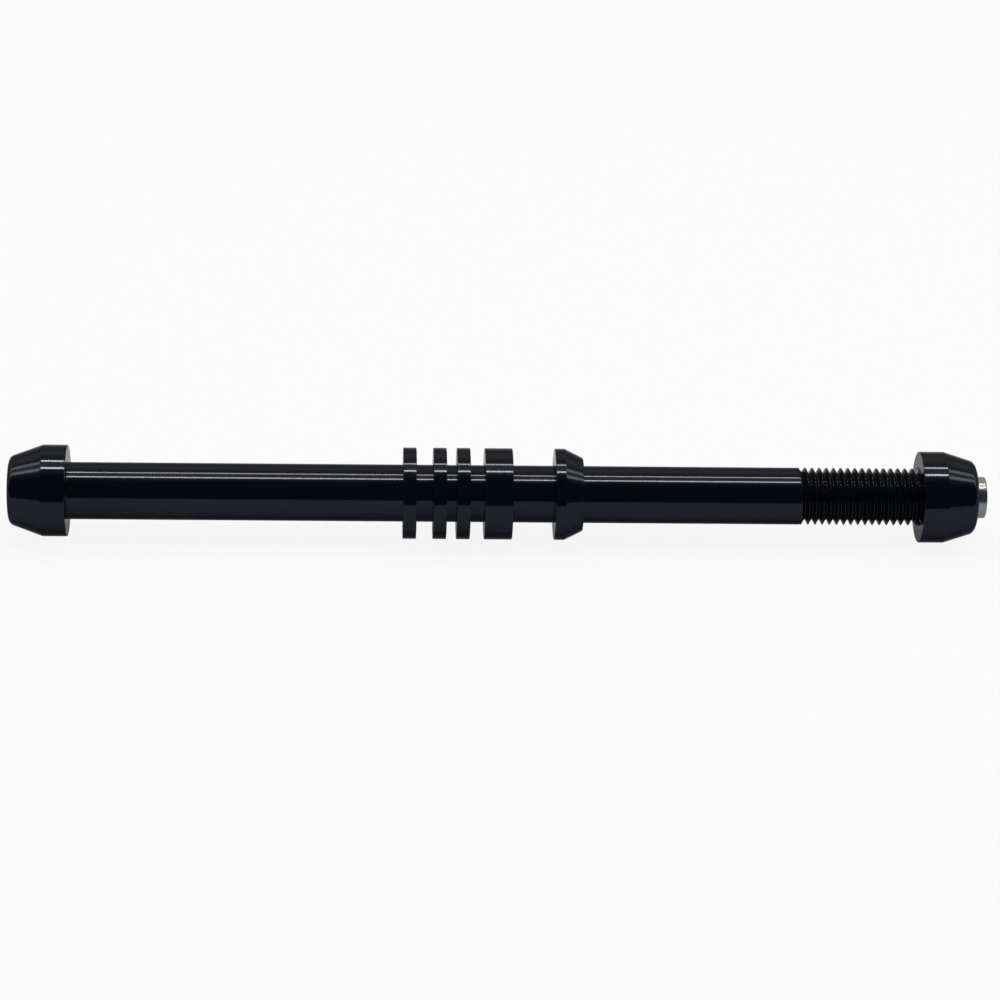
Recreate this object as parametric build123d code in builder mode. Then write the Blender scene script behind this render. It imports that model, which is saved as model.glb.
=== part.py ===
import os
from math import ceil, radians, tan

from build123d import *

# Thru axle with a conical head and nut, loose spacer rings and a cone ring.
# Millimetres. The axle lies along X, from its head at the left to its thread at the right.
# The origin is on the axis, at the flat seat under the head. Z is up.

# Bar that the head, the rings and the nut are turned from
bar_diameter = 19.05
edge_break = 0.2

# Head of the axle: a rim with a flat seat, then a taper to the end face
head_length = 12.1
head_rim = 5.1
head_taper = 20.0
head_end_fillet = 1.5
hex_socket_flats = 6.0
hex_socket_depth = 6.0
hex_socket_bevel = 0.1

# Shaft and its thread
shaft_diameter = 11.9
shaft_length = 151.85
thread_diameter = 11.85
thread_pitch = 1.5
thread_length = 32.05
thread_flank = 30.0
thread_crest_width = 0.35
thread_turns_per_cut = 2
relief_width = 0.3
relief_extra_depth = 0.08
tip_bevel = 1.1

# Rings that slide on the shaft, in order from the head
ring_clearance = 0.15
first_ring_place = 69.5
thin_spacer = 2.8
thick_spacer_length = 5.8
gap_1 = 3.45
gap_2 = 2.1
gap_3 = 3.0
gap_4 = 8.8
cone_ring_length = 5.9
cone_ring_rim = 2.1
cone_ring_taper = 26.5

# Nut: a rim with a flat seat, then a taper, with a blind bore over the thread
nut_length = 11.8
nut_rim = 5.1
nut_taper = 17.6
nut_end_fillet = 2.5
nut_bore_depth = 6.5
nut_clearance = 0.1
nut_wall = 2.4

# Cap screw that locks the nut to the axle
screw_diameter = 5.0
screw_length = 12.0
screw_head_diameter = 8.7
screw_head_height = 5.0
screw_head_bevel = 0.2
screw_hex_flats = 4.0
screw_hex_depth = 2.6
screw_hex_bevel = 0.1
screw_tip_bevel = 0.6
screw_hole_clearance = 0.1
screw_hole_extra_depth = 1.5
screw_pass_clearance = 0.25
screw_head_clearance = 0.2

# Sizes that follow from the ones above
bar_radius = bar_diameter / 2
shaft_radius = shaft_diameter / 2
thread_radius = thread_diameter / 2
flank_slope = tan(radians(thread_flank))
groove_width = thread_pitch - thread_crest_width
thread_depth = groove_width / 2 / flank_slope
root_radius = thread_radius - thread_depth
relief_radius = root_radius - relief_extra_depth
shoulder_end = shaft_length + shaft_radius - relief_radius
relief_end = shoulder_end + relief_width
relief_height = thread_radius - relief_radius
axle_length = shaft_length + thread_length
cut_length = thread_pitch * thread_turns_per_cut
bar_end = axle_length + cut_length + thread_pitch
ring_bore_radius = shaft_radius + ring_clearance
nut_place = axle_length - nut_bore_depth
nut_bore_radius = thread_radius + nut_clearance
screw_seat = axle_length + nut_wall
screw_radius = screw_diameter / 2
screw_head_radius = screw_head_diameter / 2
spacer_1_place = first_ring_place
spacer_2_place = spacer_1_place + thin_spacer + gap_1
spacer_3_place = spacer_2_place + thin_spacer + gap_2
thick_spacer_place = spacer_3_place + thin_spacer + gap_3
cone_ring_place = thick_spacer_place + thick_spacer_length + gap_4


def taper_drop(length, angle):
    return length * tan(radians(angle))


os.makedirs("parts", exist_ok=True)

# Axle: head, shaft, shoulder and thread turned as one piece
with BuildPart() as axle:
    head_end_radius = bar_radius - taper_drop(head_length - head_rim, head_taper)
    with BuildSketch(Plane.XZ):
        with BuildLine():
            Polyline(
                (-head_length, 0),
                (-head_length, head_end_radius),
                (-head_rim, bar_radius),
                (0, bar_radius),
                (0, shaft_radius),
                (shaft_length, shaft_radius),
                (shoulder_end, relief_radius),
                (relief_end, relief_radius),
                (relief_end + taper_drop(relief_height, thread_flank), thread_radius),
                (bar_end, thread_radius),
                (bar_end, 0),
                close=True,
            )
        make_face()
    revolve(axis=Axis.X)

    rings = axle.edges().filter_by(GeomType.CIRCLE)
    fillet(rings.filter_by_position(Axis.X, -head_length, -head_length), head_end_fillet)
    rings = axle.edges().filter_by(GeomType.CIRCLE)
    seat_rings = rings.filter_by_position(Axis.X, 0, 0).sort_by(SortBy.RADIUS)
    chamfer(seat_rings[-1], edge_break)

    # Thread: one right-hand groove, cut a few turns at a time from the relief out past the tip,
    # in a bar that is still longer than the axle
    groove_over = thread_crest_width / 2
    groove_half = groove_width / 2 + taper_drop(groove_over, thread_flank)
    for cut in range(ceil((axle_length + thread_pitch / 2 - shoulder_end) / cut_length)):
        with BuildLine(mode=Mode.PRIVATE) as groove_path:
            Helix(
                pitch=thread_pitch,
                height=cut_length,
                radius=root_radius,
                center=(shoulder_end + cut * cut_length, 0, 0),
                direction=(1, 0, 0),
            )
        groove_plane = Plane(
            origin=groove_path.line @ 0, x_dir=(1, 0, 0), z_dir=groove_path.line % 0
        )
        with BuildSketch(groove_plane):
            with BuildLine():
                Polyline(
                    (0, 0),
                    (groove_half, thread_depth + groove_over),
                    (-groove_half, thread_depth + groove_over),
                    close=True,
                )
            make_face()
        sweep(path=groove_path.line, is_frenet=True, mode=Mode.SUBTRACT)

    # Tip: the bar is cut to the length of the axle, with a bevel through the last turns
    with BuildSketch(Plane.XZ):
        with BuildLine():
            Polyline(
                (axle_length - tip_bevel - groove_over, thread_radius + groove_over),
                (axle_length, thread_radius - tip_bevel),
                (axle_length, 0),
                (bar_end + thread_pitch, 0),
                (bar_end + thread_pitch, thread_radius + groove_over),
                close=True,
            )
        make_face()
    revolve(axis=Axis.X, mode=Mode.SUBTRACT)

    # Hex socket in the end of the head, with a bevelled mouth
    head_face = Plane(origin=(-head_length, 0, 0), x_dir=(0, 1, 0), z_dir=(1, 0, 0))
    hex_corner = hex_socket_flats / 2 / tan(radians(60)) * 2
    with BuildSketch(head_face):
        RegularPolygon(hex_socket_flats / 2, 6, major_radius=False)
    extrude(amount=hex_socket_depth, mode=Mode.SUBTRACT)
    with BuildSketch(Plane.XZ):
        with BuildLine():
            Polyline(
                (-head_length, 0),
                (-head_length, hex_corner + hex_socket_bevel),
                (-head_length + hex_corner + hex_socket_bevel, 0),
                close=True,
            )
        make_face()
    revolve(axis=Axis.X, mode=Mode.SUBTRACT)

    # Tapped hole for the lock screw, with a countersunk mouth and a drilled foot
    hole_radius = screw_radius + screw_hole_clearance
    hole_foot = screw_seat - screw_length - screw_hole_extra_depth
    with BuildSketch(Plane.XZ):
        with BuildLine():
            Polyline(
                (hole_foot - hole_radius / 2, 0),
                (hole_foot, hole_radius),
                (axle_length - screw_tip_bevel, hole_radius),
                (axle_length, hole_radius + screw_tip_bevel),
                (axle_length, 0),
                close=True,
            )
        make_face()
    revolve(axis=Axis.X, mode=Mode.SUBTRACT)

axle.part.label = "axle"
export_step(axle.part, "parts/axle.step")


# Plain ring with its left face at a place along the shaft
def spacer_ring(label, place, thickness):
    with BuildPart() as ring:
        with BuildSketch(Plane.YZ.offset(place)):
            Circle(bar_radius)
            Circle(ring_bore_radius, mode=Mode.SUBTRACT)
        extrude(amount=thickness)
    ring.part.label = label
    export_step(ring.part, "parts/" + label + ".step")
    return ring.part


spacer_1 = spacer_ring("spacer_1", spacer_1_place, thin_spacer)
spacer_2 = spacer_ring("spacer_2", spacer_2_place, thin_spacer)
spacer_3 = spacer_ring("spacer_3", spacer_3_place, thin_spacer)
thick_spacer = spacer_ring("thick_spacer", thick_spacer_place, thick_spacer_length)

# Cone ring: a short rim, then a taper that faces the thread
with BuildPart() as cone_ring:
    cone_ring_end = cone_ring_place + cone_ring_length
    cone_ring_end_radius = bar_radius - taper_drop(cone_ring_length - cone_ring_rim, cone_ring_taper)
    with BuildSketch(Plane.XZ):
        with BuildLine():
            Polyline(
                (cone_ring_place, ring_bore_radius),
                (cone_ring_place, bar_radius),
                (cone_ring_place + cone_ring_rim, bar_radius),
                (cone_ring_end, cone_ring_end_radius),
                (cone_ring_end, ring_bore_radius),
                close=True,
            )
        make_face()
    revolve(axis=Axis.X)
    rings = cone_ring.edges().filter_by(GeomType.CIRCLE)
    back_rings = rings.filter_by_position(Axis.X, cone_ring_place, cone_ring_place)
    chamfer(back_rings.sort_by(SortBy.RADIUS)[-1], edge_break)
    rings = cone_ring.edges().filter_by(GeomType.CIRCLE)
    front_rings = rings.filter_by_position(Axis.X, cone_ring_end, cone_ring_end)
    chamfer(front_rings.sort_by(SortBy.RADIUS)[-1], edge_break)

cone_ring.part.label = "cone_ring"
export_step(cone_ring.part, "parts/cone_ring.step")

# End nut: rim and taper outside, bore over the thread and pocket for the screw inside
with BuildPart() as end_nut:
    nut_end = nut_place + nut_length
    nut_end_radius = bar_radius - taper_drop(nut_length - nut_rim, nut_taper)
    with BuildSketch(Plane.XZ):
        with BuildLine():
            Polyline(
                (nut_place, 0),
                (nut_place, bar_radius),
                (nut_place + nut_rim, bar_radius),
                (nut_end, nut_end_radius),
                (nut_end, 0),
                close=True,
            )
        make_face()
    revolve(axis=Axis.X)
    rings = end_nut.edges().filter_by(GeomType.CIRCLE)
    fillet(rings.filter_by_position(Axis.X, nut_end, nut_end), nut_end_fillet)
    rings = end_nut.edges().filter_by(GeomType.CIRCLE)
    chamfer(rings.filter_by_position(Axis.X, nut_place, nut_place), edge_break)

    pass_radius = screw_radius + screw_pass_clearance
    pocket_radius = screw_head_radius + screw_head_clearance
    with BuildSketch(Plane.XZ):
        with BuildLine():
            Polyline(
                (nut_place, 0),
                (nut_place, nut_bore_radius),
                (axle_length, nut_bore_radius),
                (axle_length, pass_radius),
                (screw_seat, pass_radius),
                (screw_seat, pocket_radius),
                (nut_end, pocket_radius),
                (nut_end, 0),
                close=True,
            )
        make_face()
    revolve(axis=Axis.X, mode=Mode.SUBTRACT)

end_nut.part.label = "end_nut"
export_step(end_nut.part, "parts/end_nut.step")

# Lock screw: cap head in the pocket of the nut, shank in the end of the axle
with BuildPart() as lock_screw:
    screw_tip = screw_seat - screw_length
    screw_top = screw_seat + screw_head_height
    with BuildSketch(Plane.XZ):
        with BuildLine():
            Polyline(
                (screw_tip, 0),
                (screw_tip, screw_radius - screw_tip_bevel),
                (screw_tip + screw_tip_bevel, screw_radius),
                (screw_seat, screw_radius),
                (screw_seat, screw_head_radius),
                (screw_top, screw_head_radius),
                (screw_top, 0),
                close=True,
            )
        make_face()
    revolve(axis=Axis.X)
    rings = lock_screw.edges().filter_by(GeomType.CIRCLE)
    chamfer(rings.filter_by_position(Axis.X, screw_top, screw_top), screw_head_bevel)

    screw_face = Plane(origin=(screw_top, 0, 0), x_dir=(0, 1, 0), z_dir=(1, 0, 0))
    screw_hex_corner = screw_hex_flats / 2 / tan(radians(60)) * 2
    with BuildSketch(screw_face):
        RegularPolygon(screw_hex_flats / 2, 6, major_radius=False)
    extrude(amount=-screw_hex_depth, mode=Mode.SUBTRACT)
    with BuildSketch(Plane.XZ):
        with BuildLine():
            Polyline(
                (screw_top, 0),
                (screw_top, screw_hex_corner + screw_hex_bevel),
                (screw_top - screw_hex_corner - screw_hex_bevel, 0),
                close=True,
            )
        make_face()
    revolve(axis=Axis.X, mode=Mode.SUBTRACT)

lock_screw.part.label = "lock_screw"
export_step(lock_screw.part, "parts/lock_screw.step")
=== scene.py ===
import math

import bmesh
import bpy
from mathutils import Matrix, Vector


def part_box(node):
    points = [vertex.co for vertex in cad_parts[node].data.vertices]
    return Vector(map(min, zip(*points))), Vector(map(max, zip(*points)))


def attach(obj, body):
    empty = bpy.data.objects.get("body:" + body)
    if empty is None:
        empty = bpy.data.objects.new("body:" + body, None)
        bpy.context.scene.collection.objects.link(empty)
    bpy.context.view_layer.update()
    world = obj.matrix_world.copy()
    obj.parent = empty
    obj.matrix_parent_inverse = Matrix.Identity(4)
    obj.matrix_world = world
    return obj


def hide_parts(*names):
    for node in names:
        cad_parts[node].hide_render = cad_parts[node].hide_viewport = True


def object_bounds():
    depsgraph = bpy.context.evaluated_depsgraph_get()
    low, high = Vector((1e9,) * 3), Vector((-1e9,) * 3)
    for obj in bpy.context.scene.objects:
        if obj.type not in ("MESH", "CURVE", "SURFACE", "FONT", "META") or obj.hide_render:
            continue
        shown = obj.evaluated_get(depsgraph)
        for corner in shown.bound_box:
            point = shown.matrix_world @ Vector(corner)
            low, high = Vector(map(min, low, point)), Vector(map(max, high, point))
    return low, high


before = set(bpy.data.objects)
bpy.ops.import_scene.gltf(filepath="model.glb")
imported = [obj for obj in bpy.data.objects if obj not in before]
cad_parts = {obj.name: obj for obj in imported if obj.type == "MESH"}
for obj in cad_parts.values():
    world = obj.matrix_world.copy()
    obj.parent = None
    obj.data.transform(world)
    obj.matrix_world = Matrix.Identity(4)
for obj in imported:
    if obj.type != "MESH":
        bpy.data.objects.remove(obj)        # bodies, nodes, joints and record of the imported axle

cadBox = [list(corner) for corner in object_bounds()]
scene = bpy.context.scene
mm = 0.001
segments = 120           # facets round every turned piece, a multiple of six for the hex sockets
sharpAngle = math.radians(33)
samePlace = 1e-6         # points of one shell nearer than this are one, m
weldPlace = 2e-6         # and points of two shells that meet
sliver = 1e-7            # edges shorter than this are dropped


def pick(sockets, key):  # a socket by its number, or by its name among those in use
    if isinstance(key, int):
        return sockets[key]
    return next(s for s in sockets if s.name == key and s.enabled)


class Wire:              # one socket of a node tree, so that node maths reads as plain sums
    def __init__(self, tree, socket=None):
        self.tree, self.socket = tree, socket

    def node(self, kind, settings=None, sockets=None, out=0):
        made = self.tree.nodes.new(kind)
        for key, value in (settings or {}).items():
            if key == "stops":
                ramp = made.color_ramp.elements
                while len(ramp) < len(value):
                    ramp.new(1.0)
                for stop, (place, colour) in zip(ramp, value):
                    stop.position = place
                    stop.color = (*colour, 1.0)
            else:
                setattr(made, key, value)
        for key, value in (sockets or {}).items():
            if isinstance(value, Wire):
                self.tree.links.new(value.socket, pick(made.inputs, key))
            else:
                pick(made.inputs, key).default_value = value
        return Wire(self.tree, pick(made.outputs, out) if made.outputs else None)

    def other(self, out):    # another output of the same node
        return Wire(self.tree, pick(self.socket.node.outputs, out))

    def maths(self, operation, *values):
        return self.node("ShaderNodeMath", {"operation": operation}, dict(enumerate(values)))

    def __add__(self, value):
        return self.maths("ADD", self, value)

    __radd__ = __add__

    def __sub__(self, value):
        return self.maths("SUBTRACT", self, value)

    def __rsub__(self, value):
        return self.maths("SUBTRACT", value, self)

    def __mul__(self, value):
        return self.maths("MULTIPLY", self, value)

    __rmul__ = __mul__

    def __truediv__(self, value):
        return self.maths("DIVIDE", self, value)

    def __rtruediv__(self, value):
        return self.maths("DIVIDE", value, self)

    def __gt__(self, value):
        return self.maths("GREATER_THAN", self, value)

    def least(self, value):
        return self.maths("MINIMUM", self, value)

    def most(self, value):
        return self.maths("MAXIMUM", self, value)


# finishes
def newFinish(name):
    material = bpy.data.materials.new(name)
    material.use_nodes = True
    material.node_tree.nodes.clear()
    return material, Wire(material.node_tree)


def mixed(share, first, second):
    sockets = {"Factor": share, "A": first, "B": second}
    return share.node("ShaderNodeMix", {"data_type": "RGBA"}, sockets, out="Result")


def turnedPlace(start):  # the place, how far it is along the axis, and how far out from it
    place = start.node("ShaderNodeTexCoord", out="Object")
    along = place.node("ShaderNodeSeparateXYZ", sockets={0: place}, out="X")
    across, up = along.other("Y"), along.other("Z")
    return place, along, start.maths("SQRT", across * across + up * up)


def cloud(place, size, detail):
    sockets = {"Vector": place, "Scale": 1 / size, "Detail": detail}
    return place.node("ShaderNodeTexNoise", {}, sockets)


def toolMarks(along, radius, width, detail):     # rings left by the lathe, on faces and round sides
    rings = along.node("ShaderNodeCombineXYZ", sockets={"X": along / width, "Y": radius / width})
    sockets = {"Vector": rings, "Scale": 1.0, "Detail": detail}
    return along.node("ShaderNodeTexNoise", {"noise_dimensions": "2D"}, sockets)


blackLook = {
    "deep": (0.0178, 0.0207, 0.0296, 1),
    "pale": (0.0204, 0.0237, 0.0334, 1),
    "bareEdge": (0.044, 0.046, 0.050, 1),
    "glancing": (0.48, 0.48, 0.50, 1),           # keeps the outline dark where it is seen edge on
    "metal": 0.90,
    "specular": 0.2,
    "roughness": 0.09,
    "faceRoughness": 0.07,                       # more on flat faces across the axis
    "facePower": 16.0,
    "markRoughness": 0.02,
    "smudgeRoughness": 0.06,
    "rubbedRoughness": 0.12,
    "grooveFrom": 5.93 * mm,                     # nearer the axis than this it is duller, as in a thread
    "grooveFade": 0.4 * mm,
    "grooveMatt": 0.16,
    "toolMark": 0.42 * mm,
    "toolMarkDepth": 0.0001 * mm,
    "smudge": 16 * mm,
    "smudgeShare": 0.7,                          # of the tone, the rest follows the tool marks
    "edgeSpeck": 0.8 * mm,
    "speckFrom": 0.38,
    "speckContrast": 3.0,
}


def blackAnodised(name, look):
    material, start = newFinish(name)
    place, along, radius = turnedPlace(start)
    marks = toolMarks(along, radius, look["toolMark"], detail=3.0)
    smudge = cloud(place, look["smudge"], detail=3.0)
    speck = cloud(place, look["edgeSpeck"], detail=2.0)
    wear = start.node("ShaderNodeAttribute", {"attribute_name": "wear"}, out="Fac")
    rubbed = wear * ((speck - look["speckFrom"]) * look["speckContrast"]).most(0.0).least(1.0)
    outward = start.node("ShaderNodeNewGeometry", out="Normal")
    tilt = start.maths("ABSOLUTE", start.node("ShaderNodeSeparateXYZ", {}, {0: outward}, out="X"))
    facing = start.maths("POWER", tilt, look["facePower"])
    groove = ((look["grooveFrom"] - radius) / look["grooveFade"]).most(0.0).least(1.0)
    matt = groove * look["grooveMatt"]
    tone = smudge * look["smudgeShare"] + marks * (1 - look["smudgeShare"])
    black = mixed(tone, look["deep"], look["pale"])
    gloss = look["roughness"] + facing * look["faceRoughness"]
    uneven = (marks - 0.5) * look["markRoughness"] + (smudge - 0.5) * look["smudgeRoughness"]
    shader = start.node("ShaderNodeBsdfPrincipled", {}, {
        "Base Color": mixed(rubbed, black, look["bareEdge"]),
        "Metallic": look["metal"] - matt,
        "Specular IOR Level": look["specular"],
        "Specular Tint": look["glancing"],
        "Roughness": gloss + uneven + rubbed * look["rubbedRoughness"],
        "Normal": start.node("ShaderNodeBump", {}, {"Distance": look["toolMarkDepth"], "Height": marks}),
    })
    start.node("ShaderNodeOutputMaterial", {}, {"Surface": shader})
    return material


steelLook = {
    "dull": (0.20, 0.205, 0.222, 1),
    "bright": (0.30, 0.308, 0.332, 1),
    "roughness": 0.22,
    "markRoughness": 0.06,
    "smudgeRoughness": 0.06,
    "toolMark": 0.16 * mm,
    "toolMarkDepth": 0.00003 * mm,
    "smudge": 2.5 * mm,
    "smudgeShare": 0.6,
}


def polishedSteel(name, look):
    material, start = newFinish(name)
    place, along, radius = turnedPlace(start)
    marks = toolMarks(along, radius, look["toolMark"], detail=3.0)
    smudge = cloud(place, look["smudge"], detail=3.0)
    tone = smudge * look["smudgeShare"] + marks * (1 - look["smudgeShare"])
    uneven = (marks - 0.5) * look["markRoughness"] + (smudge - 0.5) * look["smudgeRoughness"]
    shader = start.node("ShaderNodeBsdfPrincipled", {}, {
        "Base Color": mixed(tone, look["dull"], look["bright"]),
        "Metallic": 1.0,
        "Roughness": look["roughness"] + uneven,
        "Normal": start.node("ShaderNodeBump", {}, {"Distance": look["toolMarkDepth"], "Height": marks}),
    })
    start.node("ShaderNodeOutputMaterial", {}, {"Surface": shader})
    return material


blackFinish = blackAnodised("blackAnodised", blackLook)
steelFinish = polishedSteel("polishedSteel", steelLook)
print("finishes made")


# two node trees: one turns a profile on the axis, the other runs a groove along a helix
def newTree(name, wanted):
    tree = bpy.data.node_groups.new(name, "GeometryNodeTree")
    tree.interface.new_socket("Piece", in_out="OUTPUT", socket_type="NodeSocketGeometry")
    for label, kind in wanted.items():
        tree.interface.new_socket(label, in_out="INPUT", socket_type="NodeSocket" + kind)
    given = tree.nodes.new("NodeGroupInput")
    return tree, {label: Wire(tree, given.outputs[label]) for label in wanted}


def sampled(points, row, layer=None):            # a profile point's place, or one of its layers
    kind = "FLOAT" if layer else "FLOAT_VECTOR"
    if layer:
        value = row.node("GeometryNodeInputNamedAttribute", {"data_type": kind}, {"Name": layer})
    else:
        value = row.node("GeometryNodeInputPosition")
    sockets = {"Geometry": points, "Value": value, "Index": row}
    return row.node("GeometryNodeSampleIndex", {"data_type": kind, "domain": "POINT"}, sockets)


def gridPlaces(given, rows):                     # a sheet of rows by facets, and each point's place
    columns = given["Segments"] + 1
    sheet = rows.node("GeometryNodeMeshGrid", {}, {"Vertices X": rows, "Vertices Y": columns})
    index = rows.node("GeometryNodeInputIndex")
    row = rows.maths("FLOOR", index / columns)
    turn = (index - row * columns) / given["Segments"]
    return sheet, row, turn


def closeTree(given, sheet, along, radius, turn, wear):
    angle = turn * (2 * math.pi)                 # from the top, right-handed about the axis
    across = 0 - radius * sheet.maths("SINE", angle)
    up = radius * sheet.maths("COSINE", angle)
    spot = sheet.node("ShaderNodeCombineXYZ", {}, {"X": along, "Y": across, "Z": up})
    worn = {"Geometry": sheet, "Name": "wear", "Value": wear}
    kept = sheet.node("GeometryNodeStoreNamedAttribute", {"data_type": "FLOAT", "domain": "POINT"}, worn)
    moved = sheet.node("GeometryNodeSetPosition", {}, {"Geometry": kept, "Position": spot})
    closed = sheet.node("GeometryNodeMergeByDistance", {}, {"Geometry": moved, "Distance": samePlace})
    plain = sheet.node("GeometryNodeRealizeInstances", {}, {"Geometry": closed})
    done = sheet.node("GeometryNodeSetMaterial", {}, {"Geometry": plain, "Material": given["Finish"]})
    sheet.node("NodeGroupOutput", {}, {"Piece": done})


def latheTree():
    tree, given = newTree("turnOnLathe", {
        "Profile": "Geometry", "Segments": "Int", "Finish": "Material",
    })
    profile = given["Profile"]
    rows = profile.node("GeometryNodeAttributeDomainSize", {"component": "MESH"}, {"Geometry": profile})
    sheet, row, turn = gridPlaces(given, rows)
    point = sampled(profile, row)
    along = row.node("ShaderNodeSeparateXYZ", {}, {0: point}, out="X")
    radius = along.other("Y")
    flats = sampled(profile, row, "flats")       # width across flats, where the row is a hexagon
    isHex = flats > 0.0
    sixth = row.maths("MODULO", turn + 1 / 12, 1 / 6) - 1 / 12
    hexRadius = flats / 2 / row.maths("COSINE", sixth * (2 * math.pi))
    shaped = radius + isHex * (hexRadius - radius)
    shifted = along + sampled(profile, row, "slope") * (radius - shaped)
    closeTree(given, sheet, shifted, shaped, turn, sampled(profile, row, "wear"))
    return tree


def threadTree():
    tree, given = newTree("runThread", {
        "Groove": "Geometry", "Segments": "Int", "Finish": "Material", "Turns": "Int",
        "First Groove": "Float", "Pitch": "Float", "Crest Radius": "Float", "Inside": "Float",
        "Start": "Float", "Start Drop": "Float", "Start Slope": "Float", "Start Run": "Float",
        "End": "Float", "End Drop": "Float", "End Slope": "Float", "End Run": "Float",
    })
    groove = given["Groove"]
    steps = groove.node("GeometryNodeAttributeDomainSize", {"component": "MESH"}, {"Geometry": groove})
    sheet, row, turn = gridPlaces(given, steps * given["Turns"])
    whole = row.maths("FLOOR", row / steps)
    step = row - whole * steps
    point = sampled(groove, step)
    shift = row.node("ShaderNodeSeparateXYZ", {}, {0: point}, out="X")
    depth = shift.other("Y")
    free = given["First Groove"] + given["Pitch"] * (whole + turn) + shift
    along = free.most(given["Start"]).least(given["End"])
    fromStart, fromEnd = along - given["Start"], given["End"] - along
    runOut = (fromStart * given["Start Run"]).least(fromEnd * given["End Run"])
    startBevel = given["Start Drop"] - fromStart * given["Start Slope"]
    endBevel = given["End Drop"] - fromEnd * given["End Slope"]
    drop = depth.least(runOut).most(startBevel).most(endBevel).most(0.0)
    radius = given["Crest Radius"] - given["Inside"] * drop
    closeTree(given, sheet, along, radius, turn, sampled(groove, step, "wear"))
    return tree


lathe, threader = latheTree(), threadTree()


def runTree(tree, points, layers, values):
    mesh = bpy.data.meshes.new("points")
    mesh.from_pydata([(x * mm, r * mm, 0) for x, r in points], [], [])
    for layer, numbers in layers.items():
        mesh.attributes.new(layer, "FLOAT", "POINT").data.foreach_set("value", numbers)
    holder = bpy.data.objects.new("holder", mesh)
    scene.collection.objects.link(holder)
    modifier = holder.modifiers.new("tree", "NODES")
    modifier.node_group = tree
    for socket in tree.interface.items_tree:
        if socket.name in values:
            modifier[socket.identifier] = values[socket.name]
    bpy.context.view_layer.update()
    made = bpy.data.meshes.new_from_object(holder.evaluated_get(bpy.context.evaluated_depsgraph_get()))
    holder.modifiers.remove(modifier)
    bpy.data.objects.remove(holder)
    bpy.data.meshes.remove(mesh)
    return made


def corner(x, r, soft=0.0, worn=0.0, flats=0.0, slope=0.0):
    return {"at": Vector((x, r)), "soft": soft, "worn": worn, "flats": flats, "slope": slope}


profileSize = {          # mm and degrees
    "longestRun": 4.0,   # between two rings of points
    "samePoint": 1e-4,
    "wearReach": 0.22,   # how far the rubbed tone reaches from an edge
    "leastWear": 0.35,   # where a rounded edge begins, of what it has in its middle
    "roundShare": 0.45,  # how much of a side a rounded edge may take
    "leastSteps": 4,     # of a rounded edge
    "smallStep": 18,     # turn of one such step
    "largeStep": 8,      # and of one where the radius is over largeFrom
    "largeFrom": 0.6,
}


def turned(corners, finish):                     # corners of a profile in mm become a turned shell
    rows, p = [], profileSize
    margin = p["wearReach"]

    def put(at, wear=0.0, flats=0.0, slope=0.0):
        if rows and flats == rows[-1][2] and (at - rows[-1][0]).length < p["samePoint"]:
            return
        if rows and not flats and not rows[-1][2]:
            last = rows[-1][0]
            runs = int((at - last).length / p["longestRun"]) + 1
            for k in range(1, runs):
                rows.append((last.lerp(at, k / runs), 0.0, 0.0, 0.0))
        rows.append((at, wear, flats, slope))

    for k, item in enumerate(corners):
        at, soft = item["at"], item["soft"]
        if not soft:
            put(at, 0.0, item["flats"], item["slope"])
            continue
        before, after = corners[k - 1]["at"] - at, corners[(k + 1) % len(corners)]["at"] - at
        bend = math.pi - before.angle(after)
        most = min(before.length, after.length) * p["roundShare"]
        reach = min(soft * math.tan(bend / 2), most)
        weight = math.cos(bend / 2)              # makes the curve an arc of a circle
        begin, end = at + before.normalized() * reach, at + after.normalized() * reach
        step = p["largeStep"] if soft > p["largeFrom"] else p["smallStep"]
        parts = max(p["leastSteps"], math.ceil(math.degrees(bend) / step))
        if before.length > 4 * (reach + margin):               # where there is room for it
            put(at + before.normalized() * (reach + margin))
        for part in range(parts + 1):
            t = part / parts
            shares = (1 - t) ** 2, 2 * weight * t * (1 - t), t * t
            spot = (begin * shares[0] + at * shares[1] + end * shares[2]) / sum(shares)
            swell = p["leastWear"] + (1 - p["leastWear"]) * math.sin(math.pi * t)
            put(spot, item["worn"] * swell)
        if after.length > 4 * (reach + margin):
            put(at + after.normalized() * (reach + margin))
    spots, wears, flats, slopes = zip(*rows)
    layers = {"wear": wears, "flats": [width * mm for width in flats], "slope": slopes}
    return runTree(lathe, spots, layers, {"Segments": segments, "Finish": finish})


flankAngle = math.radians(60)                    # from the axis
noRunOut = 1e6                                   # the groove keeps its depth to the end
spareTurns = 2                                   # beyond each end, where the groove is cut off
crestSteps = [math.radians(a) for a in (0, 20, 40, 60)]
rootSteps = [math.radians(a) for a in (-60, -30, 0, 30, 60)]


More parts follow.
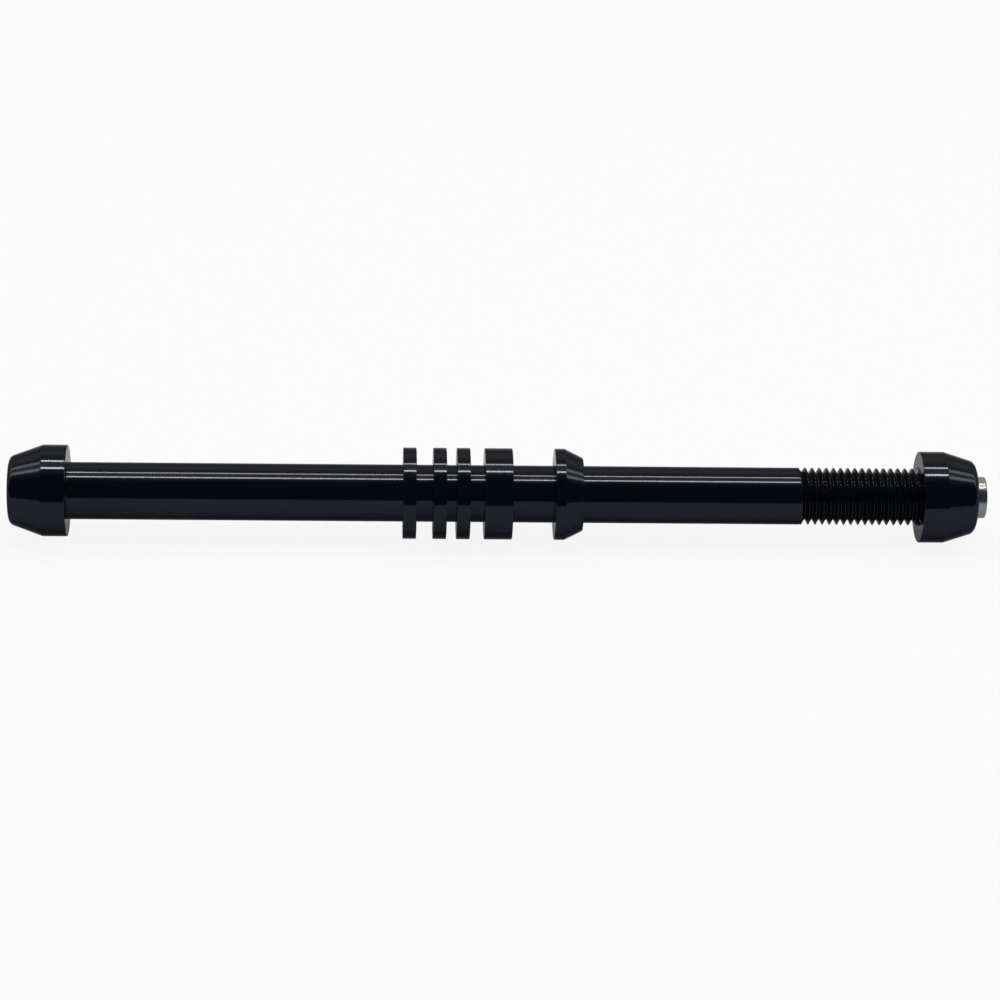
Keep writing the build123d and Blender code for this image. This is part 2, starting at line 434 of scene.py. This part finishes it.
def threaded(size, finish):                      # one pitch of groove, run along a helix
    pitch, start, end = size["pitch"], size["start"], size["end"]
    crest, root = size["crestRound"], size["rootRound"]
    deep = pitch / 2 * math.tan(flankAngle) - crest - root       # from the crest to the root
    points = [(crest * math.sin(a) - pitch / 2, crest * (1 - math.cos(a)), 1 - a) for a in crestSteps]
    points += [(root * math.sin(a), deep - root * (1 - math.cos(a)), 0.0) for a in rootSteps]
    points += [(-d, drop, wear) for d, drop, wear in reversed(points[1:len(crestSteps)])]
    deepest = size.get("depth", deep)
    whole = math.floor((start - size["grooveAtTop"]) / pitch) - spareTurns
    first = size["grooveAtTop"] + pitch * whole
    values = {
        "Segments": segments, "Finish": finish, "Turns": math.ceil((end - first) / pitch) + spareTurns,
        "First Groove": first * mm, "Pitch": pitch * mm, "Crest Radius": size["radius"] * mm,
        "Inside": -1.0 if size.get("inside") else 1.0,
        "Start": start * mm, "Start Drop": size["startDrop"] * mm,
        "Start Slope": size["startSlope"], "Start Run": size["startRun"],
        "End": end * mm, "End Drop": size["endDrop"] * mm,
        "End Slope": size["endSlope"], "End Run": size["endRun"],
    }
    layers = {"wear": [max(wear, 0.0) * size["worn"] for _, _, wear in points]}
    return runTree(threader, [(d, min(drop, deepest)) for d, drop, _ in points], layers, values)


def weld(name, shells, body):          # shells joined ring to ring into one closed piece
    work = bmesh.new()
    for shell in shells:
        work.from_mesh(shell)
    bmesh.ops.remove_doubles(work, verts=work.verts, dist=weldPlace)
    bmesh.ops.dissolve_degenerate(work, edges=work.edges, dist=sliver)
    bmesh.ops.recalc_face_normals(work, faces=work.faces)
    if work.calc_volume(signed=True) < 0:
        bmesh.ops.reverse_faces(work, faces=work.faces)
    for face in work.faces:
        face.smooth = True
        face.material_index = 0
    for edge in work.edges:
        edge.smooth = edge.calc_face_angle(0.0) < sharpAngle
    openEdges = sum(not edge.is_manifold for edge in work.edges)
    mesh = bpy.data.meshes.new(name)
    work.to_mesh(mesh)
    mesh.materials.clear()
    mesh.materials.append(shells[0].materials[-1])
    triangles = sum(len(face.verts) - 2 for face in work.faces)
    work.free()
    for shell in shells:
        bpy.data.meshes.remove(shell)
    piece = bpy.data.objects.new(name, mesh)
    scene.collection.objects.link(piece)
    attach(piece, body)
    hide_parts(body)
    print(name, "made:", triangles, "triangles,", openEdges, "open edges")


# axle: head, shaft, thread and the tapped hole in its end
axleSize = {
    "headLength": 12.1, "headRim": 5.1, "headRadius": 9.525, "headEndRadius": 6.977, "headFillet": 1.5,
    "hexFlats": 6.0, "hexDepth": 6.0, "hexBevel": 0.1,
    "shaftRadius": 5.95, "shaftLength": 151.85, "seatFillet": 0.2,
    "edge": 0.16, "edgeWear": 0.3, "taperEdge": 0.32, "taperWear": 0.2,
    "holeRadius": 2.6, "holeFoot": 172.8, "holeMouth": 0.6,
}
axleThread = {
    "radius": 5.99, "pitch": 1.5, "crestRound": 0.088, "rootRound": 0.125, "worn": 0.1,
    "grooveAtTop": 152.851, "start": 152.0, "end": 183.9,
    "startDrop": 0.0, "startSlope": 1.0, "startRun": 1.05,
    "endDrop": 1.1, "endSlope": 1.0, "endRun": noRunOut,
}
holeThread = {
    "radius": 2.6, "pitch": 0.8, "crestRound": 0.09, "rootRound": 0.05, "worn": 0.0,
    "depth": 0.3, "inside": True,
    "grooveAtTop": 174.4, "start": 174.4, "end": 183.3,
    "startDrop": 0.0, "startSlope": 1.0, "startRun": 0.4,
    "endDrop": 0.0, "endSlope": 1.0, "endRun": 0.6,
}


def buildAxle():
    s, t, h = axleSize, axleThread, holeThread
    mouth = s["hexFlats"] / math.sqrt(3) + s["hexBevel"]
    head = turned([
        corner(s["hexDepth"] - s["headLength"], 0),
        corner(s["hexDepth"] - s["headLength"], s["hexFlats"] / 2, flats=s["hexFlats"]),
        corner(-s["headLength"], mouth, flats=s["hexFlats"], slope=1.0),
        corner(-s["headLength"], mouth),
        corner(-s["headLength"], s["headEndRadius"], s["headFillet"]),
        corner(-s["headRim"], s["headRadius"], s["taperEdge"], s["taperWear"]),
        corner(0, s["headRadius"], s["edge"], s["edgeWear"]),
        corner(0, s["shaftRadius"], s["seatFillet"]),
        corner(s["shaftLength"], s["shaftRadius"]),
        corner(t["start"], t["radius"]),
    ], blackFinish)
    tip = turned([
        corner(t["end"], t["radius"] - t["endDrop"]),
        corner(h["end"] + s["holeMouth"], s["holeRadius"] + s["holeMouth"]),
        corner(h["end"], s["holeRadius"]),
    ], blackFinish)
    foot = turned([
        corner(h["start"], s["holeRadius"]),
        corner(s["holeFoot"], s["holeRadius"]),
        corner(s["holeFoot"] - s["holeRadius"] / 2, 0),
    ], blackFinish)
    shells = [head, threaded(t, blackFinish), tip, threaded(h, blackFinish), foot]
    weld("axleTurned", shells, "axle")


buildAxle()


# rings that slide on the shaft
ringSize = {"boreRadius": 6.1, "boreEdge": 0.2, "edge": 0.16, "edgeWear": 0.3}


def buildSpacer(node):
    low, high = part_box(node)
    left, right, radius = low[0] / mm, high[0] / mm, high[2] / mm
    s = ringSize
    middle = corner((left + right) / 2, s["boreRadius"])
    shell = turned([
        middle,
        corner(left, s["boreRadius"], s["boreEdge"]),
        corner(left, radius, s["edge"], s["edgeWear"]),
        corner(right, radius, s["edge"], s["edgeWear"]),
        corner(right, s["boreRadius"], s["boreEdge"]),
        middle,
    ], blackFinish)
    words = node.split("_")
    weld(words[0] + words[1].capitalize() + "Turned", [shell], node)


for ringNode in ("spacer_1", "spacer_2", "spacer_3", "thick_spacer"):
    buildSpacer(ringNode)

# ring with a short rim and a taper
coneSize = {"rim": 2.1, "endRadius": 7.63, "taperEdge": 0.32, "taperWear": 0.2}


def buildConeRing():
    low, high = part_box("cone_ring")
    left, right, radius = low[0] / mm, high[0] / mm, high[2] / mm
    s, c, bore = ringSize, coneSize, ringSize["boreRadius"]
    middle = corner((left + right) / 2, bore)
    shell = turned([
        middle,
        corner(left, bore, s["boreEdge"]),
        corner(left, radius, s["edge"], s["edgeWear"]),
        corner(left + c["rim"], radius, c["taperEdge"], c["taperWear"]),
        corner(right, c["endRadius"], s["edge"], c["taperWear"]),
        corner(right, bore, s["boreEdge"]),
        middle,
    ], blackFinish)
    weld("coneRingTurned", [shell], "cone_ring")


buildConeRing()

# nut: rim and taper outside, thread and pocket for the screw inside
nutSize = {
    "rim": 5.1, "endRadius": 7.4, "fillet": 2.5,
    "edge": 0.16, "edgeWear": 0.3, "taperEdge": 0.32, "taperWear": 0.2, "pocketWear": 0.2,
    "boreRadius": 6.025, "boreEnd": 183.9, "boreMouth": 0.35,
    "passRadius": 2.75, "screwSeat": 186.3, "pocketRadius": 4.55,
}
nutThread = {
    "radius": 6.025, "pitch": 1.5, "crestRound": 0.15, "rootRound": 0.06, "worn": 0.0,
    "depth": 0.4, "inside": True,
    "grooveAtTop": 177.75, "start": 177.75, "end": 183.5,
    "startDrop": 0.0, "startSlope": 1.0, "startRun": 0.8,
    "endDrop": 0.0, "endSlope": 1.0, "endRun": 0.6,
}


def buildNut():
    low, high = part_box("end_nut")
    left, right, radius = low[0] / mm, high[0] / mm, high[2] / mm
    s, t = nutSize, nutThread
    outside = turned([
        corner(t["start"], s["boreRadius"]),
        corner(left, s["boreRadius"] + s["boreMouth"]),
        corner(left, radius, s["edge"], s["edgeWear"]),
        corner(left + s["rim"], radius, s["taperEdge"], s["taperWear"]),
        corner(right, s["endRadius"], s["fillet"]),
        corner(right, s["pocketRadius"], s["edge"], s["pocketWear"]),
        corner(s["screwSeat"], s["pocketRadius"]),
        corner(s["screwSeat"], s["passRadius"]),
        corner(s["boreEnd"], s["passRadius"]),
        corner(s["boreEnd"], s["boreRadius"]),
        corner(t["end"], s["boreRadius"]),
    ], blackFinish)
    weld("endNutTurned", [outside, threaded(t, blackFinish)], "end_nut")


buildNut()

# lock screw: cap head with a hex socket, threaded shank
screwSize = {
    "radius": 2.5, "seat": 186.3, "neckFillet": 0.1,
    "headRadius": 4.35, "headBevel": 0.25, "underEdge": 0.12,
    "hexFlats": 4.0, "hexDepth": 2.6, "hexBevel": 0.1,
}
screwThread = {
    "radius": 2.5, "pitch": 0.8, "crestRound": 0.07, "rootRound": 0.10, "worn": 0.0,
    "grooveAtTop": 174.4, "start": 174.3, "end": 185.6,
    "startDrop": 0.6, "startSlope": 1.0, "startRun": noRunOut,
    "endDrop": 0.0, "endSlope": 1.0, "endRun": 0.5,
}


def buildScrew():
    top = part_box("lock_screw")[1][0] / mm
    s, t = screwSize, screwThread
    mouth = s["hexFlats"] / math.sqrt(3) + s["hexBevel"]
    head = turned([
        corner(t["end"], s["radius"]),
        corner(s["seat"], s["radius"], s["neckFillet"]),
        corner(s["seat"], s["headRadius"], s["underEdge"]),
        corner(top, s["headRadius"], s["headBevel"]),
        corner(top, mouth),
        corner(top, mouth, flats=s["hexFlats"], slope=-1.0),
        corner(top - s["hexDepth"], s["hexFlats"] / 2, flats=s["hexFlats"]),
        corner(top - s["hexDepth"], 0),
    ], steelFinish)
    tip = turned([corner(t["start"], 0), corner(t["start"], t["radius"] - t["startDrop"])], steelFinish)
    weld("lockScrewTurned", [head, threaded(t, steelFinish), tip], "lock_screw")


buildScrew()


# floor and light
stageLook = {
    "floorSize": 12.0, "floorTone": (0.64, 0.685, 0.78, 1),
    "whiteToCamera": 0.90, "whiteToGloss": 0.28, "skyWhiteToGloss": 0.05,
    "stripDistance": 0.8, "lampTone": (1.0, 0.90, 0.76),
    "strips": [          # degrees above the front, middle along the axle, length, width, radiance
        (87.6, -0.0745, 0.025, 0.046, 46.0),
        (87.6, 0.1175, 0.359, 0.046, 30.0),
        (87.6, 0.316, 0.038, 0.046, 46.0),
        (108.8, -0.0745, 0.025, 0.046, 45.0),
        (108.8, 0.1175, 0.359, 0.046, 20.5),
        (108.8, 0.316, 0.038, 0.046, 31.0),
        (92.0, -0.75, 0.50, 0.120, 4.4),
        (113.0, -0.75, 0.50, 0.120, 4.0),
        (90.0, 1.10, 0.80, 0.120, 4.4),
        (111.0, 1.10, 0.80, 0.120, 4.0),
    ],
    "sky": [             # from the front horizon, overhead, to the back horizon
        (0.0, (0.005, 0.027, 0.068)), (0.38, (0.005, 0.027, 0.068)),
        (0.46, (0.305, 0.284, 0.263)), (0.50, (0.947, 0.853, 0.716)),
        (0.60, (0.947, 0.853, 0.716)), (0.64, (0.410, 0.368, 0.316)),
        (0.70, (0.537, 0.484, 0.411)), (0.75, (0.958, 0.863, 0.726)),
        (0.80, (1.021, 0.926, 0.790)), (0.87, (0.737, 0.674, 0.579)),
        (0.92, (0.684, 0.632, 0.547)), (1.0, (0.684, 0.632, 0.547)),
    ],
}


def seenRays(start):                             # the rays that are shown white, each in its share
    rays = start.node("ShaderNodeLightPath", out="Is Camera Ray")
    return rays, rays.other("Is Glossy Ray"), rays.other("Is Transmission Ray")


def buildFloor():
    half, height = stageLook["floorSize"] / 2, cadBox[0][2]
    corners = [(x * half, y * half, height) for x, y in ((-1, -1), (1, -1), (1, 1), (-1, 1))]
    mesh = bpy.data.meshes.new("floor")
    mesh.from_pydata(corners, [], [(0, 1, 2, 3)])
    floor = bpy.data.objects.new("floor", mesh)
    scene.collection.objects.link(floor)
    material, start = newFinish("paleFloor")
    camera, glossy, through = seenRays(start)
    paper = start.node("ShaderNodeBsdfDiffuse", {}, {"Color": stageLook["floorTone"]})
    white = start.node("ShaderNodeEmission", {}, {"Color": (1, 1, 1, 1), "Strength": 1.0})
    share = (camera.most(through) * stageLook["whiteToCamera"]).most(glossy * stageLook["whiteToGloss"])
    shader = start.node("ShaderNodeMixShader", {}, {0: share, 1: paper, 2: white})
    start.node("ShaderNodeOutputMaterial", {}, {"Surface": shader})
    mesh.materials.append(material)


def buildSky():
    world = bpy.data.worlds.new("studio")
    world.use_nodes = True
    world.node_tree.nodes.clear()
    scene.world = world
    start = Wire(world.node_tree)
    way = start.node("ShaderNodeTexCoord", out="Generated")
    across = start.node("ShaderNodeSeparateXYZ", {}, {0: way}, out="Y")
    rise = start.maths("ARCTAN2", across.other("Z"), 0 - across) / math.pi     # 0 in front, 1 behind
    sky = start.node("ShaderNodeValToRGB", {"stops": stageLook["sky"]}, {"Fac": rise}, out="Color")
    camera, glossy, through = seenRays(start)
    share = camera.most(through).most(glossy * stageLook["skyWhiteToGloss"])
    shade = mixed(share, sky, (1, 1, 1, 1))
    light = start.node("ShaderNodeBackground", {}, {"Color": shade, "Strength": 1.0})
    start.node("ShaderNodeOutputWorld", {}, {"Surface": light})


def buildStrip(name, rise, middle, length, width, radiance):   # a lamp along the axle
    lamp = bpy.data.lights.new(name, "AREA")
    lamp.shape, lamp.size, lamp.size_y = "RECTANGLE", length, width
    lamp.energy = radiance * math.pi * length * width
    lamp.color = stageLook["lampTone"]
    strip = bpy.data.objects.new(name, lamp)
    angle, away = math.radians(rise), stageLook["stripDistance"]
    strip.location = (middle, -away * math.cos(angle), away * math.sin(angle))
    strip.rotation_euler = (math.pi / 2 - angle, 0, 0)
    strip.visible_camera = False
    scene.collection.objects.link(strip)


buildFloor()
buildSky()
for number, strip in enumerate(stageLook["strips"], 1):
    buildStrip("strip" + str(number), *strip)
print("floor and light set")

# camera
view = {
    "foot": 0.061, "distance": 0.75, "rise": 30.0, "aim": 0.089764, "aimBelow": 0.001284,
    "lean": 0.4385, "frameWidth": 0.208487, "sensor": 36.0, "nearest": 0.01, "farthest": 50,
}


def buildCamera():
    rise, lean = math.radians(view["rise"]), math.radians(view["lean"])
    place = Vector((view["foot"], -view["distance"] * math.cos(rise), view["distance"] * math.sin(rise)))
    axis = Vector((1, 0, 0))
    target = Vector((view["aim"], 0, 0))
    for _ in range(3):                           # the aim lies a little under the axle in the picture
        forward = (target - place).normalized()
        level = (axis - forward * axis.dot(forward)).normalized()
        right = level * math.cos(lean) + level.cross(forward) * math.sin(lean)
        above = right.cross(forward)
        target = Vector((view["aim"], 0, 0)) - above * view["aimBelow"]
    lens = bpy.data.cameras.new("view")
    lens.sensor_width = view["sensor"]
    lens.lens = view["sensor"] * (target - place).length / view["frameWidth"]
    lens.clip_start, lens.clip_end = view["nearest"], view["farthest"]
    camera = bpy.data.objects.new("view", lens)
    turn = Matrix((right, above, -forward)).transposed()
    camera.matrix_world = Matrix.Translation(place) @ turn.to_4x4()
    scene.collection.objects.link(camera)
    scene.camera = camera


buildCamera()
scene.view_settings.view_transform = "Standard"
print("camera set")
